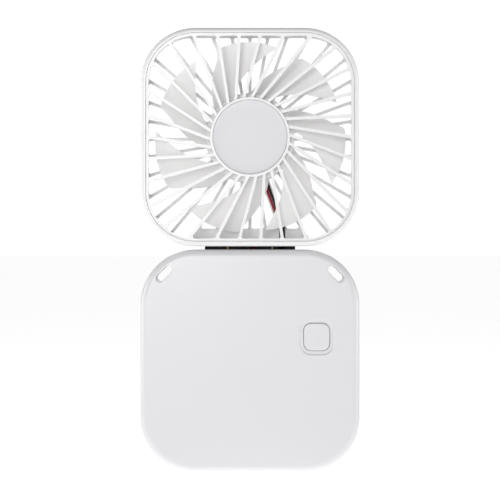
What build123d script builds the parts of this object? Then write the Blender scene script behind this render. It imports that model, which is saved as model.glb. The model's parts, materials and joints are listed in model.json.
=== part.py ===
"""Folding handheld fan: a square fan head joined to a square battery handle by a rear hinge.

Frame: millimetres, +Z up, -Y towards the user (front), +X to the user's right.
The origin is the middle of the bounding box's bottom face, so the handle stands on Z = 0.
At rest the head stands in line above the handle; it folds 180 degrees backwards,
until the two flat backs lie against each other.
"""

from build123d import *
from math import cos, radians, sin
import os

# ---------------------------------------------------------------- driving dimensions
HANDLE_W, HANDLE_H, HANDLE_R = 88.0, 89.5, 22.3  # handle outline and its corner radius
HEAD_SIZE, HEAD_R = 87.5, 21.8  # square head outline and its corner radius
FRONT_Y, BACK_Y = -10.5, 6.5  # flat front and back faces of both halves
FOLD_GAP = 1.3  # gap between head and handle when they are in line
WALL = 1.8

HINGE_Y, HINGE_Z = BACK_Y + 0.4, HANDLE_H + FOLD_GAP / 2
KNUCKLE_R, NOTCH_R = 3.6, 3.9  # hinge barrel and the round notch it turns in
HINGE_HALF, MIDDLE_HALF, WASHER_T = 18.4, 8.8, 0.5
NOTCH_HALF = HINGE_HALF + 0.4
BLOCK_HALF, BLOCK_H, BLOCK_FRONT = 21.6, 7.2, 1.9  # solid hinge block inside each half
LEAF_FRONT, LEAF_BACK, LEAF_FIT = 2.9, 5.1, 0.1  # bracket leaf in the block's pocket
LEAF_NEAR, LEAF_FAR = 4.15, 6.85  # leaf's edges, measured from the hinge axis
PIN_R, TUBE_R, TUBE_BORE, HINGE_PLAY = 1.3, 1.8, 1.3, 0.04

HEAD_BOTTOM = HANDLE_H + FOLD_GAP
HEAD_Z, HANDLE_Z = HEAD_BOTTOM + HEAD_SIZE / 2, HANDLE_H / 2

VANES, SPOKES, BLADES = 30, 36, 7
VANE_W, SPOKE_W = 1.2, 1.2
RING_R, RING_IN, CAP_R = 15.85, 15.0, 14.9
GRILLE_FRONT, GRILLE_BACK = FRONT_Y + 0.3, FRONT_Y + 2.3
GRILLE_EDGE, OPENING_EDGE = 1.95, 3.1  # grille outline and opening, measured in from the head outline
OPENING_HALF = HEAD_SIZE / 2 - OPENING_EDGE
OPENING_R = HEAD_R - OPENING_EDGE
SHELL_WALL, REAR_WALL = 1.9, 1.6
REAR_EDGE, REAR_R = 2.4, 18.0  # margin and corner radius of the field of rear openings
REAR_IN = BACK_Y - REAR_WALL
MOTOR_DISC_R, MOTOR_DISC_FRONT = 18.0, 3.6

HUB_R, TIP_R = 17.9, 38.6
HUB_FRONT, HUB_BACK = -6.6, 1.6
SHAFT_R = 1.0
WIRE_R, WIRE_SPACE = 0.5, 0.55  # wire radius, and half the distance between the pair
WIRE_Y = REAR_IN - WIRE_R - 0.05
WIRE_DROP_X, WIRE_RISE_X, WIRE_MEET_X = 13.1, 1.5, 6.0  # down from the head, into the handle, in the barrel
TUBE_X0, TUBE_X1 = 3.4, 11.7  # hollow hinge pin that the wires pass through
WIRE_SPOKE, WIRE_SPOKE_W = 290, 3.3  # the spoke that carries the motor wires: direction in degrees, width

SPLIT_Y = -1.0  # parting plane of the two handle covers
INNER_FRONT, INNER_BACK = FRONT_Y + WALL, BACK_Y - WALL
BUTTON_X, BUTTON_Z, BUTTON_W, BUTTON_H, BUTTON_R = 26.7, 54.5, 10.8, 11.4, 3.2
SWITCH_TOP = -7.3  # front of the switch plunger, which the button rests on
SLOT_X, SLOT_Z, SLOT_L, SLOT_W = 34.5, 79.75, 7.7, 3.2  # lanyard slots
PCB_X0, PCB_X1, PCB_Z0, PCB_Z1, PCB_FRONT, PCB_BACK = 14.5, 41.0, 24.0, 68.0, -4.2, -3.0
USB_Z, USB_W, USB_T, USB_L = 33.0, 8.9, 3.2, 7.3
MOTOR_CONNECTOR_X, BATTERY_CONNECTOR_X = 18.5, 26.0
CELL = (-36.0, 12.0, -5.0, 4.0, 14.0, 66.0)  # battery cell: x, y and z limits
COVER_SCREWS = [(-30, 7.5), (30, 7.5), (-27, 81), (27, 81)]
BOARD_SCREWS = [(38.0, 64.5), (17.5, 27.0)]
LEAF_SCREW_X, LEAF_SCREW_R = 7.0, 0.8
EPS = 0.01

os.makedirs("parts", exist_ok=True)


# ---------------------------------------------------------------- helpers
def plane_at(y):
    """Drawing plane at depth y: its x is +X, its y is +Z, and it faces the user."""
    return Plane(origin=(0, y, 0), x_dir=(1, 0, 0), z_dir=(0, -1, 0))


def prism(sketch, y_front, y_back):
    """A front-view sketch made solid between two depths."""
    return extrude(plane_at(y_back) * sketch, amount=y_back - y_front)


def rounded(width, height, radius, x, z):
    return Pos(x, z) * RectangleRounded(width, height, radius)


def head_outline(inset=0.0):
    size = HEAD_SIZE - 2 * inset
    return rounded(size, size, HEAD_R - inset, 0, HEAD_Z)


def handle_outline(inset=0.0):
    return rounded(HANDLE_W - 2 * inset, HANDLE_H - 2 * inset, HANDLE_R - inset, 0, HANDLE_Z)


def box(x0, x1, y0, y1, z0, z1):
    return Pos((x0 + x1) / 2, (y0 + y1) / 2, (z0 + z1) / 2) * Box(x1 - x0, y1 - y0, z1 - z0)


def disc(radius, y0, y1, x=0.0, z=HEAD_Z):
    """A round disc or rod along Y."""
    return prism(Pos(x, z) * Circle(radius), y0, y1)


def ring(outer, inner, y0, y1, x=0.0, z=HEAD_Z):
    return disc(outer, y0, y1, x, z) - disc(inner, y0 - 1, y1 + 1, x, z)


def rod_x(radius, x0, x1):
    """A rod along the hinge axis."""
    return Pos((x0 + x1) / 2, HINGE_Y, HINGE_Z) * Rot(0, 90, 0) * Cylinder(radius, x1 - x0)


def edges_at(shape, y):
    """Edges that lie wholly in the plane at depth y."""
    return [e for e in shape.edges() if abs(e.center().Y - y) < 1e-4 and e.bounding_box().size.Y < 1e-4]


def polar(radius, degrees, side=0.0):
    """Point in the head's front view: radius and direction from its centre, moved sideways."""
    a = radians(degrees)
    return (radius * cos(a) - side * sin(a), HEAD_Z + radius * sin(a) + side * cos(a))


def wire(points, radii):
    """A round wire along straight runs joined by tangent arcs."""
    path = FilletPolyline(*points, radius=radii)
    print("wire radii", radii, "length", round(path.length, 1))
    return sweep(Plane(origin=path @ 0, z_dir=path % 0) * Circle(WIRE_R), path=path)


def save(name, *solids):
    shape = solids[0] if len(solids) == 1 else Compound(children=list(solids))
    export_step(shape, f"parts/{name}.step")
    return shape


# ---------------------------------------------------------------- hinge
def notch():
    return rod_x(NOTCH_R, -NOTCH_HALF, NOTCH_HALF)


def hinge_block(up):
    """The solid block inside one half that holds a bracket leaf; up is +1 in the head, -1 in the handle."""
    near, far = HINGE_Z + up * FOLD_GAP / 2, HINGE_Z + up * (FOLD_GAP / 2 + BLOCK_H)
    return box(-BLOCK_HALF, BLOCK_HALF, BLOCK_FRONT, BACK_Y, min(near, far), max(near, far))


def hinge_cut(up):
    """What the block loses: the barrel's notch, the leaf's pocket, the wire way and the screw holes."""
    far = HINGE_Z + up * (LEAF_FAR + LEAF_FIT)
    pocket = box(
        -HINGE_HALF - LEAF_FIT, HINGE_HALF + LEAF_FIT, LEAF_FRONT - LEAF_FIT, LEAF_BACK + LEAF_FIT,
        min(HINGE_Z, far), max(HINGE_Z, far),
    )
    cut = notch() + pocket + wire_way(up)
    z = HINGE_Z + up * (LEAF_NEAR + LEAF_FAR) / 2
    for x in (-LEAF_SCREW_X, LEAF_SCREW_X):
        cut += disc(0.9, LEAF_BACK - EPS, BACK_Y + 1, x, z)
        cut += disc(1.6, BACK_Y - 0.75, BACK_Y + 1, x, z)
    return cut


def wire_way(up):
    """The channel through block and leaf that the motor wires run in."""
    x = WIRE_DROP_X if up > 0 else WIRE_RISE_X
    far = HINGE_Z + up * (BLOCK_H + 2)
    front, back = LEAF_FRONT - LEAF_FIT, LEAF_BACK + LEAF_FIT
    if up > 0:  # the head's channel is open towards the front
        front = BLOCK_FRONT - 1
    return box(x - TUBE_BORE, x + TUBE_BORE, front, back, min(HINGE_Z, far), max(HINGE_Z, far))


def wire_turn(x, up):
    """Room inside a knuckle for the wires to turn from the barrel into the leaf."""
    near, far = HINGE_Z - up * TUBE_BORE, HINGE_Z + up * 5
    back = HINGE_Y + WIRE_R + 0.15
    return box(x - TUBE_BORE, x + TUBE_BORE, LEAF_FRONT, back, min(near, far), max(near, far))


def leaf(up, spans):
    """A bracket: a leaf in the block's pocket, with the knuckles that it carries."""
    near, far = HINGE_Z + up * LEAF_NEAR, HINGE_Z + up * LEAF_FAR
    body = box(-HINGE_HALF, HINGE_HALF, LEAF_FRONT, LEAF_BACK, min(near, far), max(near, far))
    for x0, x1 in spans:
        body += rod_x(KNUCKLE_R, x0, x1)
        body += box(x0, x1, LEAF_FRONT + 0.45, LEAF_BACK, min(HINGE_Z, near), max(HINGE_Z, near))
    z = HINGE_Z + up * (LEAF_NEAR + LEAF_FAR) / 2
    for x in (-LEAF_SCREW_X, LEAF_SCREW_X):
        body -= disc(LEAF_SCREW_R, LEAF_FRONT - 1, LEAF_BACK + 1, x, z)
    return body - wire_way(up)


def hinge_parts():
    head_bracket = leaf(1, [(-HINGE_HALF, -MIDDLE_HALF - WASHER_T), (MIDDLE_HALF + WASHER_T, HINGE_HALF)])
    head_bracket -= rod_x(PIN_R, -HINGE_HALF + 1, 0) + rod_x(TUBE_R, 0, TUBE_X1)
    head_bracket -= rod_x(TUBE_BORE, 0, WIRE_DROP_X)
    head_bracket -= wire_turn(WIRE_DROP_X, 1)
    save("hinge_head_bracket", head_bracket)

    handle_bracket = leaf(-1, [(-MIDDLE_HALF, MIDDLE_HALF)])
    handle_bracket -= rod_x(PIN_R + HINGE_PLAY, -MIDDLE_HALF - 1, -2.5)
    handle_bracket -= rod_x(TUBE_R + HINGE_PLAY, TUBE_X0 - 0.1, MIDDLE_HALF + 1)
    handle_bracket -= rod_x(TUBE_BORE, 0.2, TUBE_X0)
    handle_bracket -= wire_turn(WIRE_RISE_X, -1)
    save("hinge_handle_bracket", handle_bracket)

    save("hinge_pin", rod_x(PIN_R, -HINGE_HALF + 1, -3))
    save("hinge_wire_tube", rod_x(TUBE_R, TUBE_X0, TUBE_X1) - rod_x(TUBE_BORE, TUBE_X0 - 1, TUBE_X1 + 1))
    for name, x0, bore in (
        ("hinge_washer_left", -MIDDLE_HALF - WASHER_T, PIN_R),
        ("hinge_washer_right", MIDDLE_HALF, TUBE_R),
    ):
        save(name, rod_x(3.2, x0, x0 + WASHER_T) - rod_x(bore + HINGE_PLAY, x0 - 1, x0 + 1))
    for name, up in (("head", 1), ("handle", -1)):
        save(f"hinge_{name}_screws", *leaf_screws(up))


def leaf_screws(up):
    z = HINGE_Z + up * (LEAF_NEAR + LEAF_FAR) / 2
    screws = []
    for x in (-LEAF_SCREW_X, LEAF_SCREW_X):
        screw = disc(LEAF_SCREW_R, LEAF_FRONT + 0.2, BACK_Y - 0.7, x, z)
        screw += disc(1.45, BACK_Y - 0.75, BACK_Y - 0.05, x, z)
        screws.append(cross_recess(screw, x, z, BACK_Y - 0.05, 0.8))
    return screws


def cross_recess(screw, x, z, y_face, reach):
    """Cuts a cross drive recess into a screw head whose face looks backwards."""
    for half_x, half_z in ((reach, reach * 0.22), (reach * 0.22, reach)):
        screw -= box(x - half_x, x + half_x, y_face - 0.45, y_face + 1, z - half_z, z + half_z)
    return screw


# ---------------------------------------------------------------- head
def opening(gap, straight, y_front, y_back, start):
    """An air opening as a solid whose corners further out than start are rounded, wider at the rim.

    The rim's sides run smoothly into its corner arcs at the distance named straight,
    so an edge there is no corner.
    """
    solid = prism(gap, y_front, y_back)
    for near, far, radius in ((start, 30, 0.25), (30, 80, 0.8)):
        corners = []
        for edge in solid.edges().filter_by(Axis.Y):
            x, z = abs(edge.center().X), abs(edge.center().Z - HEAD_Z)
            if near < (x**2 + z**2) ** 0.5 < far and abs(min(x, z) - straight) > 0.01:
                corners.append(edge)
        if corners:
            solid = fillet(corners, radius)
    return solid


def rear_openings():
    """The air openings in the head's back: gaps between straight radial spokes."""
    size = HEAD_SIZE - 2 * REAR_EDGE
    field = rounded(size, size, REAR_R, 0, HEAD_Z) - Pos(0, HEAD_Z) * Circle(MOTOR_DISC_R)
    above_block = field - Pos(0, HEAD_BOTTOM + BLOCK_H - 10) * Rectangle(60, 20)
    step = 360 / SPOKES
    gaps = []
    for k in range(SPOKES):
        low, high = step * k, step * (k + 1)
        sides = [WIRE_SPOKE_W / 2 if angle == WIRE_SPOKE else SPOKE_W / 2 for angle in (low, high)]
        corners = [polar(10, low, sides[0]), polar(75, low, sides[0]), polar(75, high, -sides[1])]
        wedge = Polygon(*corners, polar(10, high, -sides[1]), align=None)
        room = above_block if low >= 240 and high <= 300 else field
        gap = (room & wedge).faces().sort_by(SortBy.AREA)[-1]
        gaps.append(opening(gap, size / 2 - REAR_R, REAR_IN - 1, BACK_Y + 1, 0))
    return gaps


def tab_places():
    """Middle of each grille clip on the inner wall: x, z and the side's direction in degrees."""
    half = HEAD_SIZE / 2 - SHELL_WALL
    for side in range(4):
        for along in (-13.0, 13.0):
            a = radians(90 * side)
            yield half * cos(a) - along * sin(a), HEAD_Z + half * sin(a) + along * cos(a), 90 * side


def side_block(x, z, side, inward, outward, width, y0, y1):
    """A block on the wall at (x, z), reaching inward and outward along that side's direction."""
    depth = inward + outward
    sketch = Pos(x, z) * Rot(0, 0, side) * Pos((outward - inward) / 2, 0) * Rectangle(depth, width)
    return prism(sketch, y0, y1)


def head_shell():
    shell = prism(head_outline(), FRONT_Y, BACK_Y)
    shell = fillet(edges_at(shell, FRONT_Y), 1.6)
    shell = fillet(edges_at(shell, BACK_Y), 1.4)
    shell -= prism(head_outline(SHELL_WALL), FRONT_Y - 1, REAR_IN)
    shell -= rear_openings()
    shell += disc(MOTOR_DISC_R, MOTOR_DISC_FRONT, BACK_Y)
    shell += hinge_block(1) & prism(head_outline(0.2), FRONT_Y, BACK_Y)
    for side in (-1.4, 1.4):  # lips that keep the wires on their spoke
        lip = Pos(0, HEAD_Z) * Rot(0, 0, WIRE_SPOKE) * Pos(26.5, side) * Rectangle(18, 0.5)
        shell += prism(lip, WIRE_Y - 0.3, REAR_IN + 0.5)
    groove = Pos(0, HEAD_Z) * Rot(0, 0, WIRE_SPOKE) * Pos(16, 0) * Rectangle(14, 2.3)
    shell -= prism(groove, MOTOR_DISC_FRONT - 1, REAR_IN)
    shell -= disc(3.4, MOTOR_DISC_FRONT - 1, 5.6)
    shell -= hinge_cut(1)
    for x, z, side in tab_places():
        shell -= side_block(x, z, side, 0.5, 0.55, 6.6, GRILLE_BACK + 1.4, GRILLE_BACK + 2.6)
        for shift in (-5.6, 5.6):  # ribs that the grille rests on
            a = radians(side)
            rib_x, rib_z = x - shift * sin(a), z + shift * cos(a)
            shell += side_block(rib_x, rib_z, side, 0.8, 0.5, 1.2, GRILLE_BACK + 0.05, GRILLE_BACK + 4)
    return save("head_rear_shell", shell)


def vane_gap(k, field):
    """The opening between vane k and the next one, in front view."""
    step = 360 / VANES
    right, left = vane_edge(step * k, VANE_W / 2), vane_edge(step * (k + 1), -VANE_W / 2)
    outline = ThreePointArc(*right) + Line(right[2], left[2])
    outline += ThreePointArc(*reversed(left)) + Line(left[0], right[0])
    gap = field & make_face(outline)
    face = gap.faces().sort_by(SortBy.AREA)[-1]
    return opening(face, OPENING_HALF - OPENING_R, GRILLE_FRONT - 1, GRILLE_BACK + 1, 30)


def vane_edge(degrees, side):
    """Three points along one edge of the vane that reaches the rim at this direction."""
    points = []
    for radius in (RING_R - 2, 26, 56):
        x, z = vane_point(radius)
        nx, nz = vane_point(radius + 0.01)
        length = ((nx - x) ** 2 + (nz - z) ** 2) ** 0.5
        x, z = x - side * (nz - z) / length, z + side * (nx - x) / length
        a = radians(degrees)
        points.append((x * cos(a) - z * sin(a), HEAD_Z + x * sin(a) + z * cos(a)))
    return points


def vane_point(radius):
    """A vane leans back as it nears the ring: 16.5 degrees between the rim and the ring."""
    lean = 16.5 * ((40.8 - radius) / 24.8) ** 2 if radius < 40.8 else -0.12 * (radius - 40.8)
    a = radians(-0.5 + lean)
    return (radius * cos(a), radius * sin(a))


def front_grille():
    field = rounded(2 * OPENING_HALF, 2 * OPENING_HALF, OPENING_R, 0, HEAD_Z)
    field -= Pos(0, HEAD_Z) * Circle(RING_R)
    gaps = [vane_gap(k, field) for k in range(VANES)]
    outline = head_outline(GRILLE_EDGE)
    plate = prism(outline, GRILLE_FRONT, GRILLE_BACK)
    plate = fillet(edges_at(plate, GRILLE_FRONT), 0.35) - gaps
    plate += fillet(edges_at(disc(RING_R + 0.2, FRONT_Y + 0.1, GRILLE_BACK + 0.4), FRONT_Y + 0.1), 0.3)
    plate -= disc(RING_IN, FRONT_Y - 1, FRONT_Y + 1.5)
    for x, z, side in tab_places():
        plate += side_block(x, z, side, 1.15, -0.25, 6.0, GRILLE_BACK - 0.3, GRILLE_BACK + 2.5)
        plate += side_block(x, z, side, 0.6, 0.3, 6.0, GRILLE_BACK + 1.5, GRILLE_BACK + 2.5)
    save("front_grille", plate)
    cap = disc(CAP_R, FRONT_Y + 0.9, FRONT_Y + 1.5)
    save("centre_cap", fillet(edges_at(cap, FRONT_Y + 0.9), 0.2))


# ---------------------------------------------------------------- impeller and motor
def blade_outline():
    """One blade in front view: swept back, round at the leading tip, pointed at the trailing tip."""
    trailing = [polar_flat(r, blade_mid(r) - blade_half(r)) for r in (16, 20, 24, 28, 32, 36)]
    leading = [polar_flat(r, blade_mid(r) + blade_half(r)) for r in (35.5, 31, 27, 23, 19.5, 16)]
    tip_low, tip_high = polar_flat(TIP_R - 0.9, 21.8), polar_flat(TIP_R, 54.5)
    tip_mid = polar_flat(TIP_R, 38)
    corner = polar_flat(TIP_R - 0.9, 58.3)
    outline = Spline(*trailing, tip_low) + ThreePointArc(tip_low, tip_mid, tip_high)
    outline += Spline(tip_high, corner, *leading) + Line(leading[-1], trailing[0])
    return make_face(outline)


def blade_mid(radius):
    """Direction of the blade's middle line at a radius, in degrees."""
    inward = max(0.0, TIP_R - radius) / (TIP_R - HUB_R)
    return 39.5 + 35.6 * inward**1.27


def blade_half(radius):
    """Half the blade's width at a radius, in degrees."""
    outward = max(0.0, radius - HUB_R) / (TIP_R - HUB_R)
    return 14.8 + 3.2 * outward**0.7


def polar_flat(radius, degrees):
    return (radius * cos(radians(degrees)), radius * sin(radians(degrees)))


def blade():
    """A twisted, slightly cupped sheet, cut to the blade's outline, with the hub's centre at the origin."""
    rows = []
    for r in (14.5, 20, 26, 32, 40):
        row = []
        for share in (-1.35, -0.7, 0, 0.7, 1.35):
            a = radians(blade_mid(min(r, TIP_R)) + share * blade_half(r))
            rise = share * (3.35 - 0.055 * (r - HUB_R)) + 0.55 * (share**2 - 0.6)
            row.append(Vector(r * cos(a), -3.0 + rise, r * sin(a)))
        rows.append(row)
    sheet = Face.make_surface_from_array_of_points(rows)
    solid = thicken(sheet, amount=0.45, both=True)
    return solid & extrude(plane_at(4) * blade_outline(), amount=14)


def impeller():
    hub = disc(HUB_R, HUB_FRONT, HUB_BACK, z=0)
    hub = fillet(edges_at(hub, HUB_FRONT), 0.8)
    one = blade()
    for k in range(BLADES):
        hub += Rot(0, -360 * k / BLADES, 0) * one
    hub -= disc(16.7, HUB_FRONT + 1.4, HUB_BACK + 3, z=0)
    hub += disc(3.0, HUB_FRONT + 1, HUB_FRONT + 4, z=0)
    hub -= disc(SHAFT_R, HUB_FRONT + 1.6, HUB_BACK + 3, z=0)
    return save("impeller", Pos(0, 0, HEAD_Z) * hub)


def rotor_and_stator():
    save("rotor_yoke", ring(16.7, 16.05, HUB_FRONT + 2.2, HUB_BACK - 0.2))
    save("magnet_ring", ring(16.05, 14.4, HUB_FRONT + 2.8, HUB_BACK - 0.4))
    shaft = disc(SHAFT_R, HUB_FRONT + 1.6, 5.3) - ring(SHAFT_R + 1, SHAFT_R - 0.2, 4.65, 4.95)
    save("motor_shaft", shaft)
    clip = ring(1.9, SHAFT_R - 0.2, 4.65, 4.95) - box(-0.6, 0.6, 4, 6, HEAD_Z, HEAD_Z + 3)
    save("shaft_clip", clip)
    save("bearing_tube", ring(3.4, 2.6, -2.4, 5.6) + ring(2.61, 1.4, 5.2, 5.6))
    save("sleeve_bearing", ring(2.6, SHAFT_R + 0.03, -2.0, 4.4))
    core = Pos(0, HEAD_Z) * Circle(6.2)
    coils = []
    for k in range(9):
        turn = Pos(0, HEAD_Z) * Rot(0, 0, 40 * k)
        core += turn * Pos(8.7, 0) * Rectangle(7.4, 1.8)
        shoe = Circle(13.9) - Circle(12.4)
        core += turn * (shoe & Pos(13, 0) * Rectangle(4, 7.2))
        coil = prism(turn * Pos(9.4, 0) * Rectangle(5.2, 3.7), -3.4, 1.2)
        coils.append(fillet(coil.edges(), 0.5) - prism(turn * Pos(8.7, 0) * Rectangle(7.4, 1.8), -2.6, 0.4))
    core -= Pos(0, HEAD_Z) * Circle(3.4)
    save("stator_core", prism(core, -2.6, 0.4))
    save("stator_coils", *coils)
    board = ring(13.6, 3.4, 1.7, 2.7)
    save("motor_board", board)


# ---------------------------------------------------------------- wires
def motor_wires():
    """The pair runs down its spoke, through the hollow hinge pin and on to the board in the handle."""
    for name, s in (("red", -1), ("black", 1)):
        side, stack = s * WIRE_SPACE, -s * WIRE_SPACE
        start, bend = polar(10.5, WIRE_SPOKE, side), polar(38.3, WIRE_SPOKE, side)
        x = WIRE_DROP_X + side
        head_points = [
            (start[0], 2.7, start[1]), (start[0], WIRE_Y, start[1]), (bend[0], WIRE_Y, bend[1]),
            (x, WIRE_Y, HINGE_Z + 3.4), (x, HINGE_Y, HINGE_Z + stack),
            (WIRE_MEET_X, HINGE_Y, HINGE_Z + stack),
        ]
        save(f"motor_wire_{name}_head", wire(head_points, [0.8, 3.0, 1.2, 1.0 + 0.3 * s]))
        x, x_end = WIRE_RISE_X + side, MOTOR_CONNECTOR_X + 1.9 * side
        handle_points = [
            (WIRE_MEET_X, HINGE_Y, HINGE_Z + stack), (x, HINGE_Y, HINGE_Z + stack), (x, 4.0, HINGE_Z - 3.4),
            (x, 4.0, 78.5 + side), (9.0, 2.0, 74.0 + side), (x_end, 0.2, 73.0 + side), (x_end, 0.2, 65.0),
        ]
        save(f"motor_wire_{name}_handle", wire(handle_points, [1.0 - 0.3 * s, 1.2, 2.5, 3.0, 2.5]))


def battery_wires():
    for name, s in (("red", -1), ("black", 1)):
        side = s * WIRE_SPACE
        x_end = BATTERY_CONNECTOR_X - 1.9 * side
        x, z, y = 4.0 + side, 71.0 - side, -1.9
        points = [(x, y, 68.2), (x, y, z), (x_end, y, z), (x_end, y, 65.0)]
        save(f"battery_wire_{name}", wire(points, [1.6 - 0.5 * s, 2.4 - 0.5 * s]))


# ---------------------------------------------------------------- handle
def lanyard_slot(side, grow=0.0):
    slot = SlotOverall(SLOT_L + 2 * grow, SLOT_W + 2 * grow)
    return Pos(side * SLOT_X, SLOT_Z) * Rot(0, 0, -45 * side) * slot


def button_shape(grow=0.0):
    return rounded(BUTTON_W + 2 * grow, BUTTON_H + 2 * grow, BUTTON_R + grow, BUTTON_X, BUTTON_Z)


def front_cover():
    cover = prism(handle_outline(), FRONT_Y, SPLIT_Y)
    cover = fillet(edges_at(cover, FRONT_Y), 3.0)
    cover -= prism(handle_outline(WALL), INNER_FRONT, SPLIT_Y + 1)
    inside = prism(handle_outline(0.5), FRONT_Y + 1, SPLIT_Y)
    for side in (-1, 1):
        cover += prism(lanyard_slot(side, 1.2), FRONT_Y + 1, SPLIT_Y) & inside
    for x, z in COVER_SCREWS:
        cover += disc(2.7, INNER_FRONT - 0.5, SPLIT_Y, x, z)
        cover -= disc(1.0, INNER_FRONT + 0.6, SPLIT_Y + 1, x, z)
    for x, z in BOARD_SCREWS:
        cover += disc(2.2, INNER_FRONT - 0.5, PCB_FRONT, x, z)
        cover -= disc(0.8, INNER_FRONT + 0.6, PCB_FRONT + 1, x, z)
    guide = prism(button_shape(1.9), INNER_FRONT - 0.5, INNER_FRONT + 1.5)
    cover += guide - prism(button_shape(1.05), INNER_FRONT, INNER_FRONT + 3)
    for side in (-1, 1):
        cover -= prism(lanyard_slot(side), FRONT_Y - 1, SPLIT_Y + 1)
        rim = prism(lanyard_slot(side, 0.45), FRONT_Y - 1, FRONT_Y + 0.45)
        cover -= rim
    dish = extrude(plane_at(FRONT_Y + 0.5) * button_shape(1.2), amount=1.0, taper=-45)
    cover -= dish
    cover -= prism(button_shape(), FRONT_Y - 1, INNER_FRONT + 1)
    usb_y = PCB_FRONT - USB_T / 2
    port = Plane(origin=(HANDLE_W / 2 - 4, usb_y, USB_Z), x_dir=(0, 0, 1), z_dir=(1, 0, 0))
    cover -= extrude(port * RectangleRounded(USB_W + 0.3, USB_T + 0.3, 1.6), amount=6)
    cover -= extrude(port.offset(3.6) * RectangleRounded(USB_W + 1.1, USB_T + 1.1, 2.0), amount=3)
    cover -= led_pipe(0.02)
    return save("handle_front_cover", cover)


def led_pipe(grow=0.0):
    y = PCB_FRONT - 1.0
    return Pos(HANDLE_W / 2 - 1.45, y, 44.0) * Rot(0, 90, 0) * Cylinder(0.75 + grow, 2.9 if not grow else 6)


def rear_cover():
    cover = prism(handle_outline(), SPLIT_Y, BACK_Y)
    cover = fillet(edges_at(cover, BACK_Y), 2.2)
    cover -= prism(handle_outline(WALL), SPLIT_Y - 1, INNER_BACK)
    lip = prism(handle_outline(WALL + 0.1) - handle_outline(WALL + 0.9), SPLIT_Y - 1.4, SPLIT_Y + 0.6)
    web = prism(handle_outline(WALL - 0.5) - handle_outline(WALL + 0.9), SPLIT_Y + 0.1, SPLIT_Y + 0.6)
    cover += lip + web
    inside = prism(handle_outline(0.5), SPLIT_Y, BACK_Y - 0.5)
    for side in (-1, 1):
        cover -= prism(lanyard_slot(side, 1.3), SPLIT_Y - 3, SPLIT_Y)
        cover += prism(lanyard_slot(side, 1.2), SPLIT_Y + 0.05, BACK_Y - 0.5) & inside
    cover += hinge_block(-1) & prism(handle_outline(0.2), SPLIT_Y, BACK_Y)
    for x, z in COVER_SCREWS:
        cover -= disc(2.8, SPLIT_Y - 3, SPLIT_Y, x, z)
        cover += disc(3.1, SPLIT_Y + 0.05, BACK_Y - 0.5, x, z)
        cover -= disc(1.15, SPLIT_Y - 1, BACK_Y + 1, x, z)
        cover -= disc(2.2, BACK_Y - 1.5, BACK_Y + 1, x, z)
    for x0, x1, z0, z1 in ((-37.2, -36.2, 24, 56), (12.2, 13.2, 24, 56)):  # battery side ribs
        cover += box(x0, x1, 0.5, INNER_BACK + 0.5, z0, z1)
    for side in (-1, 1):
        cover -= prism(lanyard_slot(side), SPLIT_Y - 3, BACK_Y + 1)
        cover -= prism(lanyard_slot(side, 0.45), BACK_Y - 0.45, BACK_Y + 1)
    cover -= hinge_cut(-1)
    return save("handle_rear_cover", cover)


def button_and_switch():
    front = FRONT_Y + 0.2
    cap = prism(button_shape(-0.2), front, INNER_FRONT + 0.3)
    cap = fillet(edges_at(cap, front), 0.5)
    cap += prism(button_shape(0.9), INNER_FRONT + 0.15, INNER_FRONT + 0.8)
    cap += disc(2.0, INNER_FRONT + 0.5, SWITCH_TOP, BUTTON_X, BUTTON_Z)
    save("power_button", cap)
    x, z = BUTTON_X, BUTTON_Z
    case = box(x - 3, x + 3, SWITCH_TOP + 0.4, PCB_FRONT, z - 3, z + 3)
    case = fillet(case.edges().filter_by(Axis.Y), 0.5)
    save("switch_case", case - disc(1.8, SWITCH_TOP - 1, SWITCH_TOP + 2.3, x, z))
    save("switch_plunger", disc(1.75, SWITCH_TOP, SWITCH_TOP + 1.7, x, z))


def circuit_board():
    board = box(PCB_X0, PCB_X1, PCB_FRONT, PCB_BACK, PCB_Z0, PCB_Z1)
    board = fillet(board.edges().filter_by(Axis.Y), 1.2)
    for x, z in BOARD_SCREWS:
        board -= disc(1.0, PCB_FRONT - 1, PCB_BACK + 1, x, z)
    save("control_board", board)
    screws = []
    for x, z in BOARD_SCREWS:
        screw = disc(0.8, INNER_FRONT + 1.2, PCB_BACK + 0.2, x, z)
        screw += disc(1.7, PCB_BACK, PCB_BACK + 1.1, x, z)
        screws.append(cross_recess(screw, x, z, PCB_BACK + 1.1, 1.0))
    save("board_screws", *screws)


def usb_socket():
    x1 = HANDLE_W / 2 - 0.5
    y = PCB_FRONT - USB_T / 2
    mouth = Plane(origin=(x1 - USB_L, y, USB_Z), x_dir=(0, 0, 1), z_dir=(1, 0, 0))
    shell = extrude(mouth * RectangleRounded(USB_W, USB_T, 1.5), amount=USB_L)
    shell -= extrude(mouth.offset(1.0) * RectangleRounded(USB_W - 0.6, USB_T - 0.6, 1.2), amount=USB_L)
    save("usb_socket_shell", shell)
    save("usb_socket_tongue", box(x1 - USB_L + 1.0, x1 - 0.8, y - 0.35, y + 0.35, USB_Z - 3.2, USB_Z + 3.2))


def board_components():
    save("motor_connector", connector(MOTOR_CONNECTOR_X))
    save("battery_connector", connector(BATTERY_CONNECTOR_X))
    inductor = box(24, 30, PCB_BACK, PCB_BACK + 2.8, 42, 48)
    save("boost_inductor", fillet(inductor.edges().filter_by(Axis.Y), 1.0))
    save("charger_chip", box(17.5, 21.4, PCB_BACK, PCB_BACK + 1.5, 38, 42.9))
    save("controller_chip", box(30.5, 34.4, PCB_BACK, PCB_BACK + 1.5, 52, 56.9))
    places = ((18, 34), (22, 34), (33, 44), (33, 47))
    chips = [box(x, x + 2, PCB_BACK, PCB_BACK + 1.2, z, z + 1.25) for x, z in places]
    save("board_capacitors", *chips)
    save("charge_led", box(PCB_X1 - 1.9, PCB_X1 - 0.3, PCB_FRONT - 1.4, PCB_FRONT, 43.2, 44.8))
    save("led_light_pipe", led_pipe())


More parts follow.
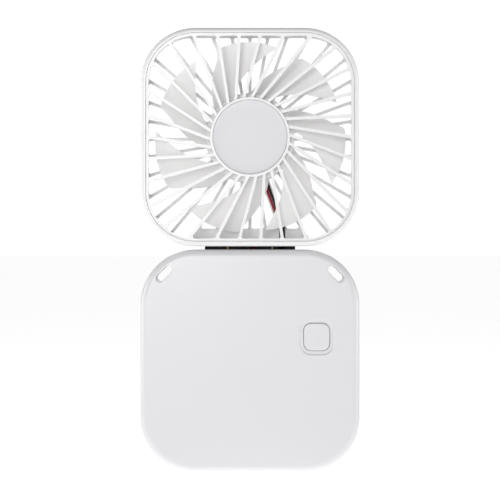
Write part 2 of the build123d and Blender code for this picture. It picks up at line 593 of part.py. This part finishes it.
def connector(x):
    """A two-way wire header: the wires end at its top face."""
    case = box(x - 2.6, x + 2.6, PCB_BACK, 1.0, 60.5, 65.0)
    return fillet(case.edges().filter_by(Axis.Z), 0.4)


def battery():
    x0, x1, y0, y1, z0, z1 = CELL
    cell = box(*CELL)
    cell = fillet(cell.edges().filter_by(Axis.Z), 3.0)
    ends = cell.edges().group_by(Axis.Z)
    cell = fillet(ends[0] + ends[-1], 1.2)
    save("battery_cell", cell)
    save("battery_protection_board", box(x0 + 8, x1 - 4, -2.4, 0.6, z1, z1 + 2.2))
    save("battery_foam_pad", box(x0 + 6, x1 - 6, y1, INNER_BACK, z0 + 6, z1 - 6))


def cover_screws():
    screws = []
    for x, z in COVER_SCREWS:
        screw = disc(1.0, INNER_FRONT + 1.4, BACK_Y - 1.4, x, z)
        screw += disc(1.95, BACK_Y - 1.5, BACK_Y - 0.3, x, z)
        screws.append(cross_recess(screw, x, z, BACK_Y - 0.3, 1.1))
    save("cover_screws", *screws)


hinge_parts()
head_shell()
front_grille()
impeller()
rotor_and_stator()
motor_wires()
battery_wires()
front_cover()
rear_cover()
button_and_switch()
circuit_board()
usb_socket()
board_components()
battery()
cover_screws()
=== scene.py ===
"""Studio picture of the folding handheld fan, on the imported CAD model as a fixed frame."""

import bmesh
import bpy
import json
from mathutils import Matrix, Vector

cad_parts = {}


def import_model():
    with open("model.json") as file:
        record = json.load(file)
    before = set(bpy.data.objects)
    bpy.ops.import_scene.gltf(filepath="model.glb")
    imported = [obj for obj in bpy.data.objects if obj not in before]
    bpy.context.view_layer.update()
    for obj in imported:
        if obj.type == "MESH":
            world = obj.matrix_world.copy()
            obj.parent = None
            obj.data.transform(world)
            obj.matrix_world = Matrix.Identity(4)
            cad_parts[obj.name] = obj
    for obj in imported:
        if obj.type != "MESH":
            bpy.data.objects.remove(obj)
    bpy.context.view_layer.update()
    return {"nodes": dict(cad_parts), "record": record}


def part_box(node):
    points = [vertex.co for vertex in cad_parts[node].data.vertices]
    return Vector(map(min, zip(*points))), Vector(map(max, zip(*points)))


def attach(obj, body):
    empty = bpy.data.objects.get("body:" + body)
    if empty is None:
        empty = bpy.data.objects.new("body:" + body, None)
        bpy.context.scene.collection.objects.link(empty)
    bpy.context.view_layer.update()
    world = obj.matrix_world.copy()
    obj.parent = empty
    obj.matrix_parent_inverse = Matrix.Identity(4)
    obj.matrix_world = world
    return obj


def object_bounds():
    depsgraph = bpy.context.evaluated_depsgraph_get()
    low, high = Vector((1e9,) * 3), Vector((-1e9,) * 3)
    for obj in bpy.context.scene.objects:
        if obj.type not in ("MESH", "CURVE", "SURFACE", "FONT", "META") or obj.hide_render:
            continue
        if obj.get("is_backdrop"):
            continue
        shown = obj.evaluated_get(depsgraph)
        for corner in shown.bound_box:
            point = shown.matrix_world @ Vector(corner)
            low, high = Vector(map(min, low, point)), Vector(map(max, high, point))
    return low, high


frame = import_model()
nodes = frame["nodes"]
MM = 0.001


# ---------------------------------------------------------------- materials
NOISE_SPAN = (0.3, 0.7)  # where nearly all of a noise's values lie
COAT_ROUGHNESS = 0.12


def range_node(tree, value, source, target):
    """Maps a value from one range to another, held at the ends."""
    node = tree.nodes.new("ShaderNodeMapRange")
    node.inputs["From Min"].default_value, node.inputs["From Max"].default_value = source
    node.inputs["To Min"].default_value, node.inputs["To Max"].default_value = target
    tree.links.new(value, node.inputs["Value"])
    return node.outputs["Result"]


class Shader:
    """One Principled material, with helpers that add procedural detail in object space."""

    def __init__(self, name, colour, roughness, metallic=0.0, specular=0.5, coat=0.0):
        self.material = bpy.data.materials.new(name)
        self.material.use_nodes = True
        self.material.diffuse_color = (*colour, 1)
        self.tree = self.material.node_tree
        self.shader = self.tree.nodes["Principled BSDF"]
        self.shader.inputs["Base Color"].default_value = (*colour, 1)
        self.shader.inputs["Roughness"].default_value = roughness
        self.shader.inputs["Metallic"].default_value = metallic
        self.shader.inputs["Specular IOR Level"].default_value = specular
        self.shader.inputs["Coat Weight"].default_value = coat
        self.shader.inputs["Coat Roughness"].default_value = COAT_ROUGHNESS
        self.place = self.tree.nodes.new("ShaderNodeTexCoord").outputs["Object"]

    def stretched(self, x, y, z):
        """Object coordinates scaled by axis, for grain that runs one way."""
        mapping = self.tree.nodes.new("ShaderNodeMapping")
        mapping.inputs["Scale"].default_value = (x, y, z)
        self.tree.links.new(self.place, mapping.inputs["Vector"])
        return mapping.outputs["Vector"]

    def noise(self, scale, detail, place=None):
        """Noise from 0 to 1, at so many cells per metre."""
        node = self.tree.nodes.new("ShaderNodeTexNoise")
        node.inputs["Scale"].default_value = scale
        node.inputs["Detail"].default_value = detail
        self.tree.links.new(place or self.place, node.inputs["Vector"])
        return node.outputs["Fac"]

    def ramp(self, value, low, high):
        """Maps a noise's usual span to the range from low to high."""
        return range_node(self.tree, value, NOISE_SPAN, (low, high))

    def tint(self, value, first, second):
        """Base colour mixed between two tones by a noise."""
        node = self.tree.nodes.new("ShaderNodeMix")
        node.data_type = "RGBA"
        node.inputs["A"].default_value = (*first, 1)
        node.inputs["B"].default_value = (*second, 1)
        self.tree.links.new(self.ramp(value, 0, 1), node.inputs["Factor"])
        self.tree.links.new(node.outputs["Result"], self.shader.inputs["Base Color"])

    def rough(self, value, low, high):
        """Roughness that wanders from low to high."""
        self.tree.links.new(self.ramp(value, low, high), self.shader.inputs["Roughness"])

    def bump(self, value, depth, strength):
        """Relief of a depth in metres."""
        node = self.tree.nodes.new("ShaderNodeBump")
        node.inputs["Strength"].default_value = strength
        node.inputs["Distance"].default_value = depth
        self.tree.links.new(value, node.inputs["Height"])
        self.tree.links.new(node.outputs["Normal"], self.shader.inputs["Normal"])


def shade(colour, factor):
    """A colour made lighter or darker."""
    return tuple(min(1.0, c * factor) for c in colour)


def gloss_plastic(name, colour, roughness=0.3):
    """Moulded gloss plastic: faint flow tone, uneven polish, fine orange peel."""
    s = Shader(name, colour, roughness, coat=0.15)
    s.tint(s.noise(scale=18, detail=1), shade(colour, 0.994), shade(colour, 1.004))
    s.rough(s.noise(scale=90, detail=2), roughness - 0.015, roughness + 0.02)
    s.bump(s.noise(scale=500, detail=2), depth=0.000008, strength=0.08)
    return s.material


def satin_plastic(name, colour, roughness=0.55, depth=0.00006):
    """Spark-eroded mould texture: fine grain in height and gloss, with a few rubbed spots."""
    s = Shader(name, colour, roughness, specular=0.4)
    s.tint(s.noise(scale=2400, detail=3), shade(colour, 0.975), shade(colour, 1.02))
    s.rough(s.noise(scale=420, detail=6), roughness - 0.12, roughness + 0.1)
    s.bump(s.noise(scale=3200, detail=3), depth, strength=0.6)
    return s.material


def turned_metal(name, colour, roughness=0.28):
    """Drawn or turned metal: streaks along X, and dull patches where it has been handled."""
    s = Shader(name, colour, roughness, metallic=1.0)
    s.tint(s.noise(scale=90, detail=5), shade(colour, 0.82), shade(colour, 1.1))
    s.rough(s.noise(scale=350, detail=5), roughness - 0.08, roughness + 0.16)
    streaks = s.noise(scale=600, detail=3, place=s.stretched(0.15, 4, 4))
    s.bump(streaks, depth=0.00003, strength=0.5)
    return s.material


def wire_rubber(name, colour):
    """Soft insulation: slightly mottled, with shallow dents."""
    s = Shader(name, colour, roughness=0.45, specular=0.4)
    s.tint(s.noise(scale=700, detail=4), shade(colour, 0.75), shade(colour, 1.2))
    s.rough(s.noise(scale=900, detail=4), 0.35, 0.6)
    s.bump(s.noise(scale=1400, detail=3), depth=0.00005, strength=0.5)
    return s.material


def circuit_board(name, colour):
    """Solder mask over copper: lighter tracks show through as a fine angular pattern."""
    s = Shader(name, colour, roughness=0.35, coat=0.4)
    cells = s.tree.nodes.new("ShaderNodeTexVoronoi")
    cells.distance = "CHEBYCHEV"
    cells.inputs["Scale"].default_value = 380
    s.tree.links.new(s.place, cells.inputs["Vector"])
    s.tint(cells.outputs["Distance"], colour, shade(colour, 1.9))
    s.rough(s.noise(scale=300, detail=4), 0.28, 0.45)
    s.bump(cells.outputs["Distance"], depth=0.00003, strength=0.4)
    return s.material


def foam(name, colour):
    """Open-celled foam: dull, with dark pores."""
    s = Shader(name, colour, roughness=0.95, specular=0.1)
    s.tint(s.noise(scale=1500, detail=6), shade(colour, 0.5), shade(colour, 1.6))
    s.rough(s.noise(scale=800, detail=3), 0.85, 1.0)
    s.bump(s.noise(scale=2200, detail=5), depth=0.0002, strength=0.8)
    return s.material


WHITE = (0.72, 0.72, 0.735)
# Painted highlight: the grille and head shell get a lighter copy of the same white plastic,
# standing in for the light that falls on them
PAINTED_LIGHTER_WHITE = (0.8, 0.795, 0.798)
# Painted highlight: the blades get a still lighter copy of the same white plastic, standing in for
# the front light that reaches them through the grille
PAINTED_LIGHTER_BLADE_WHITE = (0.9, 0.893, 0.888)
FINISHES = {
    "white_shell": gloss_plastic("white shell", WHITE),
    "white_grille": gloss_plastic("white grille painted lighter", PAINTED_LIGHTER_WHITE, roughness=0.28),
    "white_impeller": gloss_plastic("white impeller painted lighter", PAINTED_LIGHTER_BLADE_WHITE, roughness=0.34),
    "white_button": gloss_plastic("white button", WHITE),
    "cap_grey": satin_plastic("grey centre cap", (0.7, 0.7, 0.722), roughness=0.42, depth=0.00002),
    "hinge_black": satin_plastic("black hinge nylon", (0.022, 0.022, 0.024)),
    "steel": turned_metal("hinge steel", (0.6, 0.6, 0.62)),
    "zinc_screw": turned_metal("zinc screw", (0.5, 0.51, 0.54), roughness=0.34),
    "bronze": turned_metal("sintered bronze", (0.55, 0.36, 0.18), roughness=0.45),
    "copper": turned_metal("enamelled copper", (0.62, 0.26, 0.1), roughness=0.3),
    "lamination": turned_metal("steel laminations", (0.28, 0.28, 0.29), roughness=0.4),
    "magnet": satin_plastic("ferrite", (0.05, 0.05, 0.055), roughness=0.6),
    "board_green": circuit_board("solder mask", (0.012, 0.11, 0.05)),
    "chip_black": satin_plastic("chip case", (0.02, 0.02, 0.02), roughness=0.6),
    "ceramic_tan": satin_plastic("ceramic", (0.45, 0.33, 0.2), roughness=0.5),
    "connector_white": satin_plastic("natural nylon", (0.74, 0.71, 0.62), roughness=0.45),
    "wire_red": wire_rubber("red insulation", (0.42, 0.02, 0.03)),
    "wire_black": wire_rubber("black insulation", (0.02, 0.018, 0.02)),
    "cell_foil": turned_metal("cell pouch foil", (0.66, 0.67, 0.7), roughness=0.32),
    "foam_black": foam("foam pad", (0.04, 0.04, 0.04)),
    "nickel": turned_metal("nickel shell", (0.68, 0.68, 0.69), roughness=0.22),
    "led_clear": gloss_plastic("clear light pipe", (0.8, 0.82, 0.86), roughness=0.2),
}


def finish_cad_nodes():
    """Each CAD node gets its slot's finish, and the head's shell takes the grille's lighter white,
    a painted highlight.
    """
    for part in frame["record"]["subparts"]:
        mesh = nodes[part["node"]].data
        mesh.materials.clear()
        mesh.materials.append(FINISHES[part["material_slot"]])
    # Painted highlight: the head's shell takes the grille's lighter copy of the white plastic
    nodes["head_rear_shell"].data.materials[0] = FINISHES["white_grille"]


SHARP_ANGLE = 0.7  # radians between two faces, above which their edge is rounded


def round_edges(name, width):
    """Softens a moulded part's sharp edges."""
    bevel = nodes[name].modifiers.new("rounded edges", "BEVEL")
    bevel.width = width
    bevel.segments = 2
    bevel.limit_method = "ANGLE"
    bevel.angle_limit = SHARP_ANGLE
    bevel.harden_normals = True
    bevel.use_clamp_overlap = True


# ---------------------------------------------------------------- added detail
CONTACTS = 8  # on each face of the tongue
CONTACT_SIZE = (3.6 * MM, 0.08 * MM, 0.32 * MM)
CONTACT_INSET = 2.4 * MM  # from the tongue's open end to the contact's middle


def socket_contacts():
    """The gold contact strips on both faces of the charging socket's tongue."""
    low, high = (Vector(corner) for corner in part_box("usb_socket_tongue"))
    mesh = bmesh.new()
    for face_y in (low.y, high.y):
        for k in range(CONTACTS):
            z = low.z + (k + 1) * (high.z - low.z) / (CONTACTS + 1)
            pad = bmesh.ops.create_cube(mesh, size=1)["verts"]
            bmesh.ops.scale(mesh, verts=pad, vec=CONTACT_SIZE)
            bmesh.ops.translate(mesh, verts=pad, vec=(high.x - CONTACT_INSET, face_y, z))
    bmesh.ops.bevel(mesh, geom=mesh.edges[:], offset=0.02 * MM, segments=1)
    data = bpy.data.meshes.new("socket_contacts")
    mesh.to_mesh(data)
    mesh.free()
    contacts = bpy.data.objects.new("socket_contacts", data)
    bpy.context.scene.collection.objects.link(contacts)
    data.materials.append(turned_metal("gold contacts", (0.8, 0.55, 0.2), roughness=0.25))
    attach(contacts, "handle")


# ---------------------------------------------------------------- studio
SURROUND = 0.44  # brightness of the studio around the object
OVERHEAD = 0.3 * SURROUND
WALL = 1.05  # brightness of the wall behind the object
FLOOR_REACH, FLOOR_GAP = 30.0, 0.02 * MM  # metres from the middle to the edge, and below the object
FLOOR_PALE, FLOOR_PALER = (0.9, 0.9, 0.9), (0.92, 0.92, 0.92)
FLOOR_GLOW = 0.72
SIDE_BOX, FRONT_BOX = (0.4, 0.7), (0.5, 0.5)  # softbox width and height, metres
SIDE_AIM, FRONT_AIM = (0, 0, 0.09), (0, 0, 0.12)
SENSOR_WIDTH = 36


def floor():
    """A pale, faintly glowing floor, wide enough to meet the bright wall at the horizon."""
    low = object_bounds()[0]
    mesh = bmesh.new()
    bmesh.ops.create_grid(mesh, x_segments=1, y_segments=1, size=FLOOR_REACH)
    data = bpy.data.meshes.new("floor")
    mesh.to_mesh(data)
    mesh.free()
    plane = bpy.data.objects.new("floor", data)
    plane.location.z = low[2] - FLOOR_GAP
    bpy.context.scene.collection.objects.link(plane)
    s = Shader("studio floor", FLOOR_PALE, roughness=0.8, specular=0.1)
    s.tint(s.noise(scale=4, detail=2), FLOOR_PALE, FLOOR_PALER)
    s.shader.inputs["Emission Color"].default_value = (1, 1, 1, 1)
    s.shader.inputs["Emission Strength"].default_value = FLOOR_GLOW
    data.materials.append(s.material)
    plane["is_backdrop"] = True


def world():
    """Soft surroundings, dimmer overhead, with a bright white wall behind the object."""
    studio = bpy.data.worlds.new("studio")
    bpy.context.scene.world = studio
    studio.use_nodes = True
    tree = studio.node_tree
    place = tree.nodes.new("ShaderNodeTexCoord").outputs["Generated"]
    split = tree.nodes.new("ShaderNodeSeparateXYZ")
    tree.links.new(place, split.inputs["Vector"])
    overhead = range_node(tree, split.outputs["Z"], (0.2, 0.9), (SURROUND, OVERHEAD))
    wall = range_node(tree, split.outputs["Y"], (0.86, 0.93), (0.0, WALL - SURROUND))
    total = tree.nodes.new("ShaderNodeMath")
    total.operation = "ADD"
    tree.links.new(overhead, total.inputs[0])
    tree.links.new(wall, total.inputs[1])
    tree.links.new(total.outputs[0], tree.nodes["Background"].inputs["Strength"])
    tree.nodes["Background"].inputs["Color"].default_value = (1, 1, 1, 1)


def soft_light(name, place, aim, size, power):
    """A rectangular softbox of a power in watts, turned towards the aim."""
    light = bpy.data.lights.new(name, "AREA")
    light.shape = "RECTANGLE"
    light.size, light.size_y = size
    light.energy = power
    lamp = bpy.data.objects.new(name, light)
    lamp.location = place
    lamp.rotation_euler = (Vector(aim) - Vector(place)).to_track_quat("-Z", "Y").to_euler()
    bpy.context.scene.collection.objects.link(lamp)


def camera():
    """A level camera square to the front, with the object filling nearly the whole height."""
    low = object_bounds()[0]
    distance, view_width, aim_height = 0.75, 0.2, 0.0893
    data = bpy.data.cameras.new("camera")
    data.sensor_width = SENSOR_WIDTH
    data.lens = SENSOR_WIDTH * distance / view_width
    view = bpy.data.objects.new("camera", data)
    view.location = (0, low[1] - distance, aim_height)
    view.rotation_euler = Vector((0, 1, 0)).to_track_quat("-Z", "Y").to_euler()
    bpy.context.scene.collection.objects.link(view)
    bpy.context.scene.camera = view


finish_cad_nodes()
round_edges("front_grille", 0.35 * MM)
socket_contacts()
floor()
world()
camera()
soft_light("left softbox", (-0.9, -0.02, 0.12), SIDE_AIM, SIDE_BOX, 3.2)
soft_light("right softbox", (0.9, -0.02, 0.12), SIDE_AIM, SIDE_BOX, 2.9)
soft_light("front softbox", (-0.25, -1.3, 0.3), FRONT_AIM, FRONT_BOX, 4.9)
bpy.context.scene.view_settings.view_transform = "Standard"
